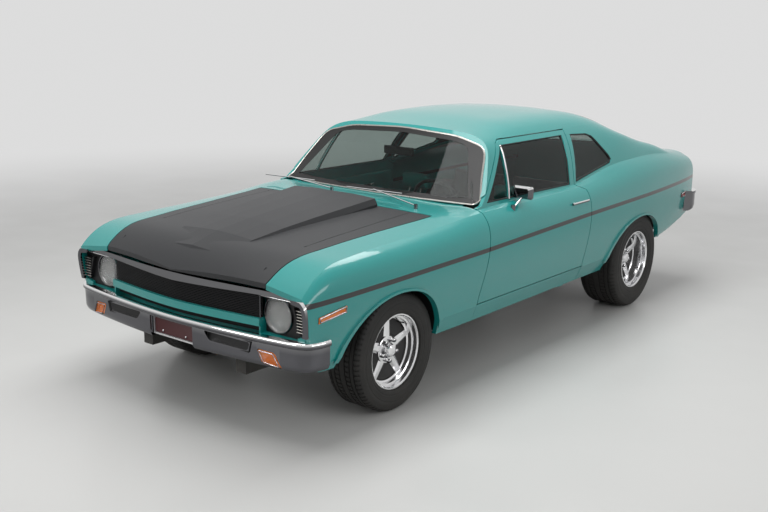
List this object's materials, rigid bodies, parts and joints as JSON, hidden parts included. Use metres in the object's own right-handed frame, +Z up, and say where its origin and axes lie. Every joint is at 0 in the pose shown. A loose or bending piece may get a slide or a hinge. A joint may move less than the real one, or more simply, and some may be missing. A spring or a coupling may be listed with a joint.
{
  "type": "two-door muscle car",
  "caption": "Two-door fastback coupe with a raised hood scoop, opening doors, hood and trunk lid, steered front wheels and wide rear tyres.",
  "frame": {"origin": "on the ground, in the middle of the length and width", "axes": "+Z up, +Y to the tail, +X to the car's left side"},
  "size_m": [1.8376, 4.811, 1.4685],
  "materials": {
    "paint_teal": "gloss clear coat",
    "hood_black": "satin",
    "chrome_trim": "polished",
    "glass_clear": "polished",
    "lamp_clear": "moulded lens",
    "lamp_red": "moulded lens",
    "lamp_amber": "moulded lens",
    "grille_black": "satin",
    "plate_metal": "blank pressed plate",
    "under_black": "satin chassis paint",
    "engine_iron": "cast",
    "tank_metal": "plain",
    "wheel_alloy": "polished",
    "tyre_rubber": "matte",
    "seat_vinyl": "vinyl with green panels",
    "grip_black": "smooth",
    "dash_black": "grained"
  },
  "bodies": {
    "chassis": {"fender_left": "paint_teal", "fender_right": "paint_teal", "cowl": "paint_teal", "roof": "paint_teal", "windshield": "glass_clear", "quarter_left": "paint_teal", "quarter_right": "paint_teal", "quarter_windows": "glass_clear", "deck_filler": "paint_teal", "rear_window": "glass_clear", "rockers": "paint_teal", "floor_pan": "under_black", "engine_bay": "under_black", "tail_panel": "paint_teal", "tail_lamps": "lamp_red", "front_bumper": "chrome_trim", "rear_bumper": "chrome_trim", "grille": "grille_black", "front_header": "chrome_trim", "front_panel": "paint_teal", "lamp_bezels": "grille_black", "headlamps": "lamp_clear", "front_subframe": "under_black", "rear_axle": "under_black", "driveshaft": "under_black", "rear_springs": "under_black", "engine_block": "engine_iron", "fuel_tank": "tank_metal", "exhaust": "tank_metal", "front_seats": "seat_vinyl", "rear_seat": "seat_vinyl", "steering_wheel": "grip_black", "dashboard": "dash_black", "window_trim": "chrome_trim", "wipers": "chrome_trim", "headlamp_rings": "chrome_trim", "front_plate": "plate_metal", "amber_lamps": "lamp_amber"},
    "door_left": {"door_left": "paint_teal", "door_glass_left": "glass_clear", "door_handle_left": "chrome_trim", "door_mirror": "chrome_trim"},
    "door_right": {"door_right": "paint_teal", "door_glass_right": "glass_clear", "door_handle_right": "chrome_trim"},
    "hood": {"hood": "hood_black"},
    "trunk_lid": {"trunk_lid": "paint_teal"},
    "knuckle_left": {"knuckle_left": "engine_iron"},
    "knuckle_right": {"knuckle_right": "engine_iron"},
    "wheel_front_left": {"wheel_front_left": "wheel_alloy", "tyre_front_left": "tyre_rubber"},
    "wheel_front_right": {"wheel_front_right": "wheel_alloy", "tyre_front_right": "tyre_rubber"},
    "wheel_rear_left": {"wheel_rear_left": "wheel_alloy", "tyre_rear_left": "tyre_rubber"},
    "wheel_rear_right": {"wheel_rear_right": "wheel_alloy", "tyre_rear_right": "tyre_rubber"}
  },
  "joints": [
    {"name": "steer_left", "type": "hinge", "parent": "chassis", "child": "knuckle_left", "pos_m": [0.653, -1.5255, 0.332], "axis": [0, 0, 1], "range_deg": [-32, 32]},
    {"name": "steer_right", "type": "hinge", "parent": "chassis", "child": "knuckle_right", "pos_m": [-0.653, -1.5255, 0.332], "axis": [0, 0, 1], "range_deg": [-32, 32]},
    {"name": "wheel_spin_front_left", "type": "hinge", "parent": "knuckle_left", "child": "wheel_front_left", "pos_m": [0.721, -1.5255, 0.332], "axis": [1, 0, 0], "continuous": true},
    {"name": "wheel_spin_front_right", "type": "hinge", "parent": "knuckle_right", "child": "wheel_front_right", "pos_m": [-0.721, -1.5255, 0.332], "axis": [1, 0, 0], "continuous": true},
    {"name": "wheel_spin_rear_left", "type": "hinge", "parent": "chassis", "child": "wheel_rear_left", "pos_m": [0.73, 1.2935, 0.353], "axis": [1, 0, 0], "continuous": true},
    {"name": "wheel_spin_rear_right", "type": "hinge", "parent": "chassis", "child": "wheel_rear_right", "pos_m": [-0.73, 1.2935, 0.353], "axis": [1, 0, 0], "continuous": true},
    {"name": "door_left_hinge", "type": "hinge", "parent": "chassis", "child": "door_left", "pos_m": [0.90571, -0.7433, 0.7], "axis": [0, 0, -1], "range_deg": [0, 62]},
    {"name": "door_right_hinge", "type": "hinge", "parent": "chassis", "child": "door_right", "pos_m": [-0.90571, -0.7433, 0.7], "axis": [0, 0, 1], "range_deg": [0, 62]},
    {"name": "hood_hinge", "type": "hinge", "parent": "chassis", "child": "hood", "pos_m": [0, -1.039, 1.015], "axis": [1, 0, 0], "range_deg": [-48, 0]},
    {"name": "trunk_hinge", "type": "hinge", "parent": "chassis", "child": "trunk_lid", "pos_m": [0, 1.702, 1.14], "axis": [1, 0, 0], "range_deg": [0, 70]}
  ],
  "couplings": [
    {"joint": "steer_right", "follows": "steer_left", "ratio": 1}
  ]
}
